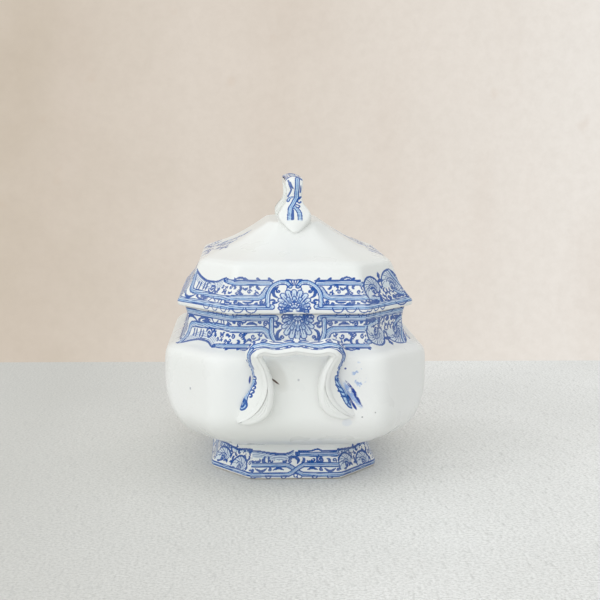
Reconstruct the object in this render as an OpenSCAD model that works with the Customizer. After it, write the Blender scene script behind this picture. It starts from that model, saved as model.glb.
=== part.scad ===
// Covered soup tureen on a long octagon plan: a footed bowl with two bracket
// handles, and a lift-off lid with a locating flange and a bracket finial.
// Units are millimetres. X is across the tureen, Y along it and Z up.
// The origin is on the table, under the middle of the foot.

/* [Bowl] */
// Width across the belly
belly_width = 218; // [200:1:230]
// Length over the belly, without the handles
belly_length = 310; // [290:1:325]
// Height at which the underside has swelled to the full belly
belly_height = 84; // [76:1:92]
// Height of the shoulder, where the belly turns in to the collar
shoulder_height = 109; // [102:1:112]
// Width across the collar at its narrowest
collar_width = 180; // [174:1:186]
// Height of the bowl's rim, without the lid
rim_height = 144.8; // [142:0.1:148]
// Thickness of the bowl's wall
bowl_wall = 5; // [4:0.5:6]
// Thickness of the bowl's floor
bowl_floor = 6; // [5:0.5:8]

/* [Foot] */
// Width across the foot where it stands
foot_width = 142; // [134:1:150]
// Length of the foot where it stands
foot_length = 202; // [194:1:208]
// Height of the foot
foot_height = 29; // [25:1:32]
// Width across the waist between the foot and the belly
waist_width = 124; // [118:1:130]
// Height of the upright lip round the foot's lower edge
foot_lip = 5; // [3:0.5:7]
// Thickness of the foot's wall
foot_wall = 9; // [7:0.5:11]

/* [Lid] */
// Width across the lid's rim
lid_width = 197; // [194:1:204]
// Length of the lid's rim
lid_length = 283; // [279:1:291]
// Height of the shoulder, where the lid's steep side turns into the roof
lid_shoulder = 182; // [178:1:188]
// Height of the flat at the top of the roof
roof_height = 213; // [209:1:217]
// Thickness of the lid's wall
lid_wall = 5; // [4:0.5:6]
// Gap between the lid and the bowl's rim, taken up by the two glazes
seat_gap = 0.2; // [0.1:0.05:0.4]
// Depth of the flange below the lid
flange_depth = 9; // [6:0.5:11]
// Thickness of the flange
flange_wall = 4; // [3:0.5:5]
// Play between the flange and the inside of the bowl's rim
flange_play = 0.9; // [0.6:0.1:1.5]

/* [Handles] */
// How far a handle stands out from the belly's end
handle_reach = 23; // [20:1:27]
// Width over the corners of a handle's bar
handle_width = 83; // [76:1:90]
// Height of the tips of the handle's leaf feet
handle_low = 65; // [63:1:70]
// Height of the top of the handle's bar
handle_top = 130; // [127:1:135]
// How far the hand-set front handle sits to the left of the middle
handle_drift = 2.5; // [0:0.5:4]
// How much lower the front handle's left leaf foot reaches
handle_sag = 5; // [0:0.5:5]

/* [Finial] */
// Length over the tips of the finial's leaf feet
finial_length = 134; // [126:1:138]
// Height of the top of the finial
finial_top = 252; // [248:1:260]
// Width of the finial's strap
finial_width = 15; // [14:0.5:20]

/* [Hidden] */

glaze_white = [0.93, 0.93, 0.90];
printed_blue = [0.62, 0.69, 0.86];

CORNER_STEPS = 4;       // points round each of the eight corners of a ring
CHAMFER_DEPTH = 1.36;   // how much longer than wide each cut corner is
CHAMFER_INSET = 0.506;  // how far an end corner moves sideways for each millimetre of wall
CREASE = 7;             // length of the rounding on each side of a corner

bottom_z = foot_height;
seat_z = rim_height + seat_gap;
waist_length = waist_width + 58;
end_y = belly_length / 2;

// ---- Rings on the octagon plan ----
// A station is [z, half_width, half_length, half_end, crease], where half_end is half of the
// straight edge at each end, and crease is the length of the rounding beside each corner.

function octagon(s) =
    let (w = s[1], l = s[2], e = s[3], side = l - CHAMFER_DEPTH * (w - e))
    [[w, -side], [w, side], [e, l], [-e, l], [-w, side], [-w, -side], [-e, -l], [e, -l]];

function unit(v) = v / norm(v);

function ring(s) =
    let (p = octagon(s))
    [for (i = [0:7], k = [0:CORNER_STEPS - 1])
        let (t = k / (CORNER_STEPS - 1),
             before = unit(p[(i + 7) % 8] - p[i]),
             after = unit(p[(i + 1) % 8] - p[i]),
             q = p[i] + s[4] * ((1 - t) * (1 - t) * before + t * t * after))
        [q.x, q.y, s[0]]];

// The same station moved in by a wall thickness, and up by a lift.
function inset(s, wall, lift = 0) =
    [s[0] + lift, s[1] - wall, s[2] - wall, s[3] - CHAMFER_INSET * wall, max(1, s[4] - wall / 2)];

function reversed(list) = [for (i = [len(list) - 1:-1:0]) list[i]];

// Skin over a stack of rings, closed by a flat cap at each end, or joined end to end as a hoop.
module skin(rings, hoop = false) {
    n = len(rings[0]);
    m = len(rings);
    last = hoop ? m - 1 : m - 2;
    sides = [for (j = [0:last], i = [0:n - 1])
        let (a = j * n, b = ((j + 1) % m) * n, k = (i + 1) % n)
        each [[a + i, b + k, a + k], [a + i, b + i, b + k]]];
    caps = hoop ? [] : [[for (i = [0:n - 1]) i], [for (i = [n - 1:-1:0]) (m - 1) * n + i]];
    polyhedron(points = [for (r = rings) each r], faces = concat(sides, caps), convexity = 10);
}

// ---- Smooth curves through hand-placed stations ----

function spline_at(a, b, c, d, t) =
    0.5 * (2 * b + (c - a) * t + (2 * a - 5 * b + 4 * c - d) * t * t
           + (3 * b - a - 3 * c + d) * t * t * t);

function spline(p, steps) =
    let (n = len(p))
    [for (i = [0:n - 2], k = [0:steps - 1])
        spline_at(i > 0 ? p[i - 1] : 2 * p[0] - p[1], p[i], p[i + 1],
                  i < n - 2 ? p[i + 2] : 2 * p[n - 1] - p[n - 2], k / steps),
     p[n - 1]];

// ---- Bowl ----

waist_end = 36;
belly_end = 67.5;
collar_end = 55;
collar_length = collar_width + 86;

// The underside swells from the waist to the belly on a flattened quarter ellipse. The two
// ends fill out sooner than the sides, so that they stand flat where the handles join.
ROUND = 0.8;
END_LEAD = 1.35;
function swell(a, wide, long) =
    [bottom_z + (belly_height - bottom_z) * pow(1 - cos(a), ROUND),
     waist_width / 2 + (wide - waist_width / 2) * sin(a),
     waist_length / 2 + (long - waist_length / 2) * sin(min(90, END_LEAD * a)),
     waist_end + (belly_end - waist_end) * sin(min(90, 1.5 * a)),
     CREASE + 5 * sin(a)];

belly_w = belly_width / 2;
collar_w = collar_width / 2;
collar_l = collar_length / 2;

underside = [for (a = [0:10:90]) swell(a, belly_w, end_y)];

shoulder = spline([
    [shoulder_height - 6, belly_w, end_y, belly_end, CREASE + 5],
    [shoulder_height + 1, belly_w - 1.5, end_y - 1.5, belly_end - 0.5, CREASE + 4],
    [shoulder_height + 5, belly_w - 6, end_y - 6.5, belly_end - 3, CREASE + 2],
    [shoulder_height + 8, belly_w - 12, end_y - 14, belly_end - 7, CREASE],
    [shoulder_height + 13, collar_w + 2.5, collar_l + 2.5, collar_end + 1.5, CREASE - 1],
    [shoulder_height + 21, collar_w + 0.3, collar_l + 0.3, collar_end, CREASE - 2],
    [rim_height - 7, collar_w + 0.5, collar_l + 0.5, collar_end, CREASE - 2],
    [rim_height - 1, collar_w + 2, collar_l + 2, collar_end + 0.8, CREASE - 2],
    [rim_height, collar_w + 1.2, collar_l + 1.2, collar_end + 0.4, CREASE - 2]], 2);

bowl_outside = concat(underside, shoulder);
bowl_inside = concat(
    [[bottom_z + bowl_floor, waist_width / 2 - 12, waist_length / 2 - 12, waist_end - 7, CREASE]],
    [for (a = [20:10:90]) inset(swell(a, belly_w, end_y), bowl_wall, bowl_floor * (1 - a / 90))],
    [for (s = shoulder) inset(s, bowl_wall)]);

module bowl() {
    color(glaze_white)
        skin([for (s = concat(bowl_outside, reversed(bowl_inside))) ring(s)]);
}

// ---- Foot ----

foot_w = foot_width / 2;
foot_l = foot_length / 2;
foot_end = 38;
waist_w = waist_width / 2;
waist_l = waist_length / 2;

foot_outside = concat(
    [[0, foot_w - 1.5, foot_l - 1.5, foot_end - 0.8, CREASE - 2],
     [1, foot_w, foot_l, foot_end, CREASE - 2],
     [foot_lip, foot_w + 0.5, foot_l + 0.5, foot_end + 0.3, CREASE - 2]],
    [for (t = [0.15, 0.35, 0.6, 0.8, 1])
        let (k = pow(1 - t, 2))
        [foot_lip + (foot_height - foot_lip) * t,
         waist_w + (foot_w - waist_w) * k,
         waist_l + (foot_l - waist_l) * k,
         waist_end + (foot_end - waist_end) * k,
         CREASE - 2]]);

module foot() {
    color(printed_blue)
        skin([for (s = concat(foot_outside, [for (s = reversed(foot_outside)) inset(s, foot_wall)]))
              ring(s)], hoop = true);
}

// ---- Lid ----

lid_w = lid_width / 2;
lid_l = lid_length / 2;
rim_end = 56;
shoulder_end = 49.5;
roof_w = 24;
roof_l = 58;
roof_end = 15.5;
shoulder_w = 80.5;
shoulder_l = 123;

lid_side = spline([
    [seat_z + 1.5, lid_w, lid_l, rim_end, 4],
    [seat_z + 4.5, lid_w - 0.2, lid_l - 0.2, rim_end, 4],
    [seat_z + 8, lid_w - 3, lid_l - 3, rim_end - 1, 4],
    [seat_z + 15, lid_w - 8.5, lid_l - 8.5, rim_end - 2.5, 4],
    [seat_z + 22, lid_w - 12.5, lid_l - 12.5, rim_end - 4, 4],
    [lid_shoulder - 7, shoulder_w + 2.5, shoulder_l + 2.8, shoulder_end + 1.2, 5],
    [lid_shoulder - 2, shoulder_w + 0.6, shoulder_l + 0.6, shoulder_end + 0.3, 7]], 2);

lid_roof = spline([
    [lid_shoulder + 0.5, shoulder_w - 1.2, shoulder_l - 1.5, shoulder_end - 0.7, 8],
    [lid_shoulder + 2.8, shoulder_w - 6, shoulder_l - 7, shoulder_end - 3.5, 9],
    [lid_shoulder + 6.5, shoulder_w - 15, shoulder_l - 21, shoulder_end - 12.5, 9],
    [lid_shoulder + 12, shoulder_w - 28, shoulder_l - 37, shoulder_end - 20, 8],
    [lid_shoulder + 21, shoulder_w - 43.5, shoulder_l - 54, shoulder_end - 29, 6],
    [roof_height - 1.5, roof_w, roof_l, roof_end, 3]], 2);

roof_cap = [[roof_height, roof_w - 3, roof_l - 3, roof_end - 1.5, 3]];

lid_outside = concat(
    [[seat_z, lid_w - 1.2, lid_l - 1.2, rim_end - 0.6, 4]], lid_side, lid_roof, roof_cap);

lid_inner_w = collar_w - bowl_wall - flange_play - flange_wall;
lid_inner_l = collar_l - bowl_wall - flange_play - flange_wall;
lid_inner_end = collar_end - CHAMFER_INSET * (bowl_wall + flange_play + flange_wall);

lid_inside = concat(
    [[seat_z, lid_inner_w, lid_inner_l, lid_inner_end, 4],
     [seat_z + 6, lid_inner_w, lid_inner_l, lid_inner_end, 4]],
    [for (s = [for (i = [9:len(lid_side) - 1]) lid_side[i]]) inset(s, lid_wall, -0.5)],
    [for (s = lid_roof) inset(s, lid_wall, -lid_wall * 0.9)]);

module lid() {
    color(glaze_white)
        skin([for (s = concat(reversed(lid_inside), lid_outside)) ring(s)]);
}

module lid_flange() {
    top = [seat_z, lid_inner_w + flange_wall, lid_inner_l + flange_wall,
           lid_inner_end + CHAMFER_INSET * flange_wall, 5];
    low = seat_z - flange_depth;
    outside = [top, [low + 1.5, top[1], top[2], top[3], 5], [low, top[1] - 1.2, top[2] - 1.2, top[3] - 0.6, 5]];
    inside = [[low, top[1] - 2.8, top[2] - 2.8, top[3] - 1.4, 5],
              [low + 1.5, lid_inner_w, lid_inner_l, lid_inner_end, 4],
              [seat_z, lid_inner_w, lid_inner_l, lid_inner_end, 4]];
    color(glaze_white)
        skin([for (s = reversed(concat(outside, inside))) ring(s)], hoop = true);
}

// ---- Bracket straps, for the handles and the finial ----
// A strap is swept along a path in the upright plane of its loop. A station of the path is
// [across, up, thickness, near, far]: the thickness lies in the loop's plane, and the strap
// spans from near to far square to that plane. The outer face slopes by FACE_SLOPE.

ROUND_STEPS = 3;

function strap_section(thick, near, far, slope) =
    let (r = min(thick, far - near) * 0.28,
         h = thick / 2,
         corners = [[near + r, -h + r, 180], [far - r, -h + r, 270],
                    [far - r, h - slope - r, 0], [near + r, h - r, 90]])
    [for (c = corners, k = [0:ROUND_STEPS - 1])
        let (a = c[2] + 90 * k / (ROUND_STEPS - 1))
        [c[0] + r * cos(a), c[1] + r * sin(a)]];

// Turned so that +Y of the section points to the outside of the loop.
module strap(path, slope) {
    n = len(path);
    rings = [for (i = [0:n - 1])
        let (p = path[i],
             ahead = path[min(n - 1, i + 1)],
             behind = path[max(0, i - 1)],
             along = unit([ahead[0] - behind[0], ahead[1] - behind[1]]),
             outward = [along[1], -along[0]])
        [for (q = strap_section(p[2], p[3], p[4], slope * p[2]))
            [p[0] + outward.x * q.y, q.x, p[1] + outward.y * q.y]]];
    skin(rings);
}

// A loop from two halves, each from its leaf foot to the middle of the bar. The second half
// is turned round to the other side.
function whole_loop(first, second) =
    concat(first, [for (i = [len(second) - 2:-1:0])
        [-second[i][0], second[i][1], second[i][2], second[i][3], second[i][4]]]);

// ---- Handles ----

EMBED = 1.2;            // how far a luted foot is pressed into the wall behind it
FACE_SLOPE = 0.45;      // fall of the printed face towards its front edge, for each millimetre of strap

bar_x = handle_width / 2;

function handle_half(low) = let (span = handle_top - low) spline([
    [bar_x + 4.5, low + 1, 4, -EMBED, 3],
    [bar_x - 3, low + 0.09 * span, 17, -EMBED, 8],
    [bar_x - 10.5, low + 0.21 * span, 24, -EMBED, 12],
    [bar_x - 14.5, low + 0.36 * span, 20, -EMBED, 15],
    [bar_x - 15, low + 0.5 * span, 16, 1, 17.5],
    [bar_x - 13, low + 0.63 * span, 14, 3.5, 19.5],
    [bar_x - 9.2, low + 0.74 * span, 13.5, 5.5, 21.5],
    [bar_x - 7.6, handle_top - 13.5, 13.2, 6.8, 22.5],
    [bar_x - 10.4, handle_top - 8.8, 13.2, 7.6, handle_reach],
    [bar_x - 16.5, handle_top - 6.8, 13.2, 8, handle_reach],
    [bar_x - 24, handle_top - 8.2, 12.4, 8, handle_reach],
    [bar_x * 0.25, handle_top - 7.8, 12, 8, handle_reach],
    [0, handle_top - 6.4, 11.5, 8, handle_reach]], 3);

module handle(sag = 0) {
    strap(whole_loop(handle_half(handle_low), handle_half(handle_low - sag)), FACE_SLOPE);
}

module handle_front() {
    color(printed_blue)
        translate([-handle_drift, -end_y, 0])
            mirror([0, 1, 0])
                handle(handle_sag);
}

module handle_rear() {
    color(printed_blue)
        translate([0, end_y, 0])
            handle();
}

// ---- Finial ----

half = finial_length / 2;
strap_x = finial_width / 2;
roof_slope = 0.95;      // fall of the leaf tip below the flat of the roof, for each millimetre past it

finial_half = spline([
    [half, roof_height - roof_slope * (half - roof_l) + 1.2, 3, -2.5, 2.5],
    [half - 4, roof_height - 3.4, 8, -8.5, 8.5],
    [half - 8.5, roof_height + 2.6, 13, -14, 14],
    [half - 13.5, roof_height + 8, 12, -12.5, 12.5],
    [half - 18, roof_height + 14.5, 10, -strap_x - 0.6, strap_x + 0.6],
    [half - 20.5, finial_top - 19, 9, -strap_x + 0.8, strap_x - 0.8],
    [half - 19.5, finial_top - 12, 9, -strap_x + 0.6, strap_x - 0.6],
    [half - 18.5, finial_top - 7.2, 9, -strap_x, strap_x],
    [half - 23, finial_top - 4.6, 8.5, -strap_x, strap_x],
    [half - 30, finial_top - 5.4, 8.5, -strap_x, strap_x],
    [14, finial_top - 4.6, 8.5, -strap_x, strap_x],
    [0, finial_top - 4.2, 8.4, -strap_x, strap_x]], 3);

module finial() {
    color(printed_blue)
        rotate([0, 0, 90])
            strap(whole_loop(finial_half, finial_half), 0);
}

bowl();
foot();
handle_front();
handle_rear();
lid();
lid_flange();
finial();
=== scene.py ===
"""Looks of a covered soup tureen in white glazed earthenware with a printed blue border.

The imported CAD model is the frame. Each of its nodes is replaced by a finer mesh of the same
shape, which carries the border print as two values on each vertex: ink for the engraved lines
and wash for the pale tint between them. Lengths are in millimetres up to the final meshes.
"""

import math

import bpy
import numpy as np
from mathutils import Matrix, Vector


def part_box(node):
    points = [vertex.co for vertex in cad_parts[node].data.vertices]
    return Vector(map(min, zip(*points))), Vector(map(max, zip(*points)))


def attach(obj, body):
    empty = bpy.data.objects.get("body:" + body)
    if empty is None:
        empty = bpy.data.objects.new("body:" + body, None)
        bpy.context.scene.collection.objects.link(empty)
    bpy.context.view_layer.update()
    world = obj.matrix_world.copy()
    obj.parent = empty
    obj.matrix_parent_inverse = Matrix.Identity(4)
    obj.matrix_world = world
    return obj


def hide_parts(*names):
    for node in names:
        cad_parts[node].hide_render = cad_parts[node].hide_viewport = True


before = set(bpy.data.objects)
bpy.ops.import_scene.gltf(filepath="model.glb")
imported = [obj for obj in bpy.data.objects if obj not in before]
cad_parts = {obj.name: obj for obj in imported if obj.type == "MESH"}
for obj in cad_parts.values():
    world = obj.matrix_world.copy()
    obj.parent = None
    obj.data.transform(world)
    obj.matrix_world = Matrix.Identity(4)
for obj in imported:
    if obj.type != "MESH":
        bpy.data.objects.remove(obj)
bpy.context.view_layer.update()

MM = 0.001


# ---- Sizes from the frame ----

def corners(node):
    """Lowest and highest corner of a CAD node in millimetres."""
    low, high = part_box(node)
    return np.array(low) / MM, np.array(high) / MM


BOWL_LOW, BOWL_HIGH = corners("bowl")
FOOT_HIGH = corners("foot")[1]
LID_LOW, LID_HIGH = corners("lid")
FLANGE_LOW, FLANGE_HIGH = corners("lid_flange")
FRONT_LOW, FRONT_HIGH = corners("handle_front")
REAR_LOW, REAR_HIGH = corners("handle_rear")
FINIAL_HIGH = corners("finial")[1]

CHAMFER_DEPTH = 1.36     # how much longer than wide each cut corner is
CHAMFER_INSET = 0.506    # how far an end corner moves sideways for each millimetre of wall
BOWL_WALL = 5.0
BOWL_FLOOR = 6.0
LID_WALL = 5.0
FOOT_WALL = 9.0
FLANGE_WALL = 4.0
FLANGE_GAP = 5.9         # how far the flange lies inside the collar's outer face
BOWL_PRINT = 37.0        # how far down from its rim the bowl carries the border
LID_PRINT = 38.0         # how far up from its rim the lid carries the border


# ---- Smooth curves through listed stations ----

def smooth(points, steps):
    """Catmull-Rom curve through the points, each a row of numbers, in steps between each two."""
    p = np.array(points, float)
    p = np.vstack([2 * p[0] - p[1], p, 2 * p[-1] - p[-2]])
    t = np.arange(steps)[:, None] / steps
    spans = []
    for a, b, c, d in zip(p[:-3], p[1:-2], p[2:-1], p[3:]):
        cubic = 2 * a - 5 * b + 4 * c - d
        spans.append(0.5 * (2 * b + (c - a) * t + cubic * t**2 + (3 * b - a - 3 * c + d) * t**3))
    return np.vstack(spans + [p[-2:-1]])


def run_length(path, columns):
    """Distance along the path, measured over some of its columns."""
    steps = np.linalg.norm(np.diff(path[:, columns], axis=0), axis=1)
    return np.concatenate([[0.0], np.cumsum(steps)])


def resample(path, columns, zones):
    """Rows at even distances along the path. A zone is (end distance or None, spacing)."""
    along = run_length(path, columns)
    marks = [0.0]
    for end, step in zones:
        end = along[-1] if end is None else min(end, along[-1])
        count = max(1, round((end - marks[-1]) / step))
        marks.extend(np.linspace(marks[-1], end, count + 1)[1:])
    marks = np.array(marks)
    rows = np.stack([np.interp(marks, along, path[:, k]) for k in range(path.shape[1])], 1)
    return rows, marks


# ---- Rings on the octagon plan ----
# A station is [z, half_width, half_length, half_end, crease], as in the design. The eight
# panels run round the plan from the right side: side, chamfer, end, chamfer, and again.

PANELS = 8
FRONT_PANEL = 6
LONG_SIDE, ARCH_CORNER = 0, 3     # kinds of panel, counted in fours


def place(stations, panel, share):
    """Points of each column on each ring, and each point's distance from its panel's middle."""
    z, w, l, e, crease = stations.T
    side = l - CHAMFER_DEPTH * (w - e)
    x = np.stack([w, w, e, -e, -w, -w, -e, e], 1)
    y = np.stack([-side, side, l, l, side, -side, -l, -l], 1)
    start = np.stack([x, y], -1)
    end = np.roll(start, -1, axis=1)
    edge = end - start
    half = np.linalg.norm(edge, axis=-1) / 2
    ahead = edge / (2 * half[..., None])
    turn_out = (np.roll(ahead, -1, axis=1) - ahead)[:, panel]
    turn_in = (ahead - np.roll(ahead, 1, axis=1))[:, panel]
    reach = half[:, panel]
    across = share * reach
    middle = ((start + end) / 2)[:, panel]
    c = np.minimum(crease[:, None], reach * 0.98)
    t = np.clip((np.abs(across) - (reach - c)) / (2 * c), 0, 0.5)
    bend = (c * t**2)[..., None] * np.where((across > 0)[..., None], turn_out, turn_in)
    spot = middle + across[..., None] * ahead[:, panel] + bend
    height = np.broadcast_to(z[:, None, None], spot.shape[:2] + (1,))
    return np.concatenate([spot, height], -1), across


def inset(stations, wall, lift=0.0):
    """The stations moved in by a wall thickness, and up by a lift."""
    s = np.array(stations, float)
    s[:, 0] += lift
    s[:, 1:3] -= wall
    s[:, 3] -= CHAMFER_INSET * wall
    s[:, 4] = np.maximum(1.0, s[:, 4] - wall / 2)
    return s


def shrunk(station, scales):
    """Flat rings inside a station, down to a small one at the middle."""
    s = np.array([station] * len(scales), float)
    s[:, 1:] *= np.array(scales)[:, None]
    return s


class Columns:
    """The columns round the plan, from the length and spacing on each of four kinds of panel."""

    def __init__(self, lengths, spacing):
        panels, shares, order = [], [], []
        for k in range(PANELS):
            count = 8 * max(1, round(lengths[k % 4] / spacing[k % 4] / 8))
            panels.append(np.full(count, k))
            shares.append(-1 + 2 * np.arange(count) / count)
            order.append(np.arange(count))
        self.panel = np.concatenate(panels)
        self.share = np.concatenate(shares)
        self.order = np.concatenate(order)

    def every(self, step, side_step=None):
        """Indices of every so many columns, with their own step on the two long sides."""
        steps = np.where(self.panel % 4 == LONG_SIDE, side_step or step, step)
        return np.flatnonzero(self.order % steps == 0)


class Skin:
    """The points, print places and faces of one piece, built ring by ring."""

    def __init__(self, columns):
        self.columns = columns
        self.points, self.across, self.along = [], [], []
        self.panel, self.zone, self.faces = [], [], []
        self.count = 0
        self.last = None

    def add(self, stations, marks, chosen, zone=0):
        """Adds rings on the chosen columns, joined to the ring before them."""
        columns = self.columns
        points, across = place(stations, columns.panel[chosen], columns.share[chosen])
        for ring, x, v in zip(points, across, marks):
            ids = np.arange(self.count, self.count + len(chosen))
            self.count += len(chosen)
            self.points.append(ring)
            self.across.append(x)
            self.along.append(np.full(len(chosen), v))
            self.panel.append(columns.panel[chosen])
            self.zone.append(np.full(len(chosen), zone))
            if self.last is not None:
                self.join(self.last, (ids, chosen))
            else:
                self.first = (ids, chosen)
            self.last = (ids, chosen)

    def join(self, low, high):
        """Faces between two rings, with a many-sided face where their columns differ."""
        ids_a, cols_a = low
        ids_b, cols_b = high
        if len(cols_a) == len(cols_b):
            next_a, next_b = np.roll(ids_a, -1), np.roll(ids_b, -1)
            self.faces.extend(np.stack([ids_a, next_a, next_b, ids_b], 1).tolist())
            return
        shared = np.intersect1d(cols_a, cols_b)
        at_a, at_b = np.searchsorted(cols_a, shared), np.searchsorted(cols_b, shared)
        ends_a = np.append(at_a[1:], at_a[0] + len(cols_a))
        ends_b = np.append(at_b[1:], at_b[0] + len(cols_b))
        for a, a_end, b, b_end in zip(at_a, ends_a, at_b, ends_b):
            lower = [int(ids_a[k % len(ids_a)]) for k in range(a, a_end + 1)]
            upper = [int(ids_b[k % len(ids_b)]) for k in range(b, b_end + 1)]
            self.faces.append(lower + upper[::-1])

    def close(self):
        """A flat face at each end."""
        self.faces.append(self.first[0][::-1].tolist())
        self.faces.append(self.last[0].tolist())

    def hoop(self):
        """The last ring joined to the first."""
        self.join(self.last, self.first)

    def arrays(self):
        """Points, print places, panels and zones of all the vertices, in order."""
        parts = (self.points, self.across, self.along, self.panel, self.zone)
        return [np.concatenate(p) for p in parts]


# ---- Pieces of the body, as stations ----

belly_w, end_y, rim_z = BOWL_HIGH
bottom_z = BOWL_LOW[2]
collar_w, collar_l, collar_end = FLANGE_HIGH[0] + FLANGE_GAP, FLANGE_HIGH[1] + FLANGE_GAP, 55.0
waist_w, waist_l, waist_end = 62.0, 91.0, 36.0
belly_z, shoulder_z = 84.0, rim_z - 35.8
belly_end = 67.5


def underside(angle):
    """Station on the swell from the waist to the belly, for an angle from 0 to 90 degrees."""
    a = math.radians(angle)
    ends = math.sin(math.radians(min(90, 1.35 * angle)))
    corner = math.sin(math.radians(min(90, 1.5 * angle)))
    return [bottom_z + (belly_z - bottom_z) * (1 - math.cos(a)) ** 0.8,
            waist_w + (belly_w - waist_w) * math.sin(a),
            waist_l + (end_y - waist_l) * ends,
            waist_end + (belly_end - waist_end) * corner,
            7 + 5 * math.sin(a)]


def shoulder():
    """Stations from the belly's upper edge over the shoulder and up the collar to the rim."""
    s = shoulder_z
    return [[s - 6, belly_w, end_y, belly_end, 12],
            [s + 1, belly_w - 1.5, end_y - 1.5, belly_end - 0.5, 11],
            [s + 5, belly_w - 6, end_y - 6.5, belly_end - 3, 9],
            [s + 8, belly_w - 12, end_y - 14, belly_end - 7, 7],
            [s + 13, collar_w + 2.5, collar_l + 2.5, collar_end + 1.5, 6],
            [s + 21, collar_w + 0.3, collar_l + 0.3, collar_end, 5],
            [rim_z - 7, collar_w + 0.5, collar_l + 0.5, collar_end, 5],
            [rim_z - 1.6, collar_w + 1.8, collar_l + 1.8, collar_end + 0.7, 5],
            [rim_z - 0.5, collar_w + 1.4, collar_l + 1.4, collar_end + 0.5, 5],
            [rim_z, collar_w + 0.2, collar_l + 0.2, collar_end - 0.1, 5]]


def foot_side():
    """Stations up the outside of the foot, from the table to the waist."""
    wide, long, end = FOOT_HIGH[0], FOOT_HIGH[1], 38.3
    rows = [[0, wide - 2, long - 2, end - 1, 5],
            [0.8, wide - 0.6, long - 0.6, end - 0.4, 5],
            [2.2, wide - 0.2, long - 0.2, end - 0.1, 5],
            [5, wide, long, end, 5]]
    for t in (0.1, 0.2, 0.35, 0.5, 0.65, 0.8, 0.92, 1):
        k = (1 - t) ** 2
        rows.append([5 + (bottom_z - 5) * t,
                     waist_w + (wide - waist_w) * k,
                     waist_l + (long - waist_l) * k,
                     waist_end + (end - waist_end) * k,
                     5])
    return rows


def lid_side():
    """Stations up the lid's steep side, from its rim to the shoulder under the roof."""
    z, wide, long = LID_LOW[2], LID_HIGH[0], LID_HIGH[1]
    return [[z, wide - 1.8, long - 1.8, 55.1, 4],
            [z + 0.5, wide - 0.6, long - 0.6, 55.8, 4],
            [z + 1.6, wide, long, 56, 4],
            [z + 4.5, wide - 0.2, long - 0.2, 56, 4],
            [z + 8, wide - 3, long - 3, 55, 4],
            [z + 15, wide - 8.5, long - 8.5, 53.5, 4],
            [z + 22, wide - 12.5, long - 12.5, 52, 4],
            [z + 30, wide - 15.5, long - 15.7, 50.7, 5],
            [z + 35, wide - 17.4, long - 17.9, 49.8, 7],
            [z + 37.3, wide - 19.0, long - 19.8, 48.9, 8]]


def lid_roof():
    """Stations over the roof, from its eaves to the flat at the top."""
    z, wide, long = LID_LOW[2], LID_HIGH[0], LID_HIGH[1]
    return [[z + 38.4, wide - 20.8, long - 22.4, 47.6, 8],
            [z + 39.8, wide - 24.0, long - 25.5, 46, 9],
            [z + 43.5, wide - 33.0, long - 39.5, 37, 9],
            [z + 49, wide - 46.0, long - 55.5, 29.5, 8],
            [z + 58, wide - 61.5, long - 72.5, 20.5, 6],
            [LID_HIGH[2] - 1.5, 24, 58, 15.5, 3],
            [LID_HIGH[2] - 0.3, 22, 56, 14.6, 3]]


# ---- Print plates ----
# A plate is a flat drawing of one panel's print. x runs along the panel from its middle and v
# across the border from its plain edge. Strokes are painted in order, and a later strap covers
# what lies under it, as on an engraved plate.

PLATE_STEP = 0.12
SOFT = 0.16             # width over which a stroke's edge fades
SPREAD = 0.36           # how much wider the ink lies than the engraved line
HALO = 0.9              # how far the ink bleeds into the glaze
HALO_WASH = 0.2


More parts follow.
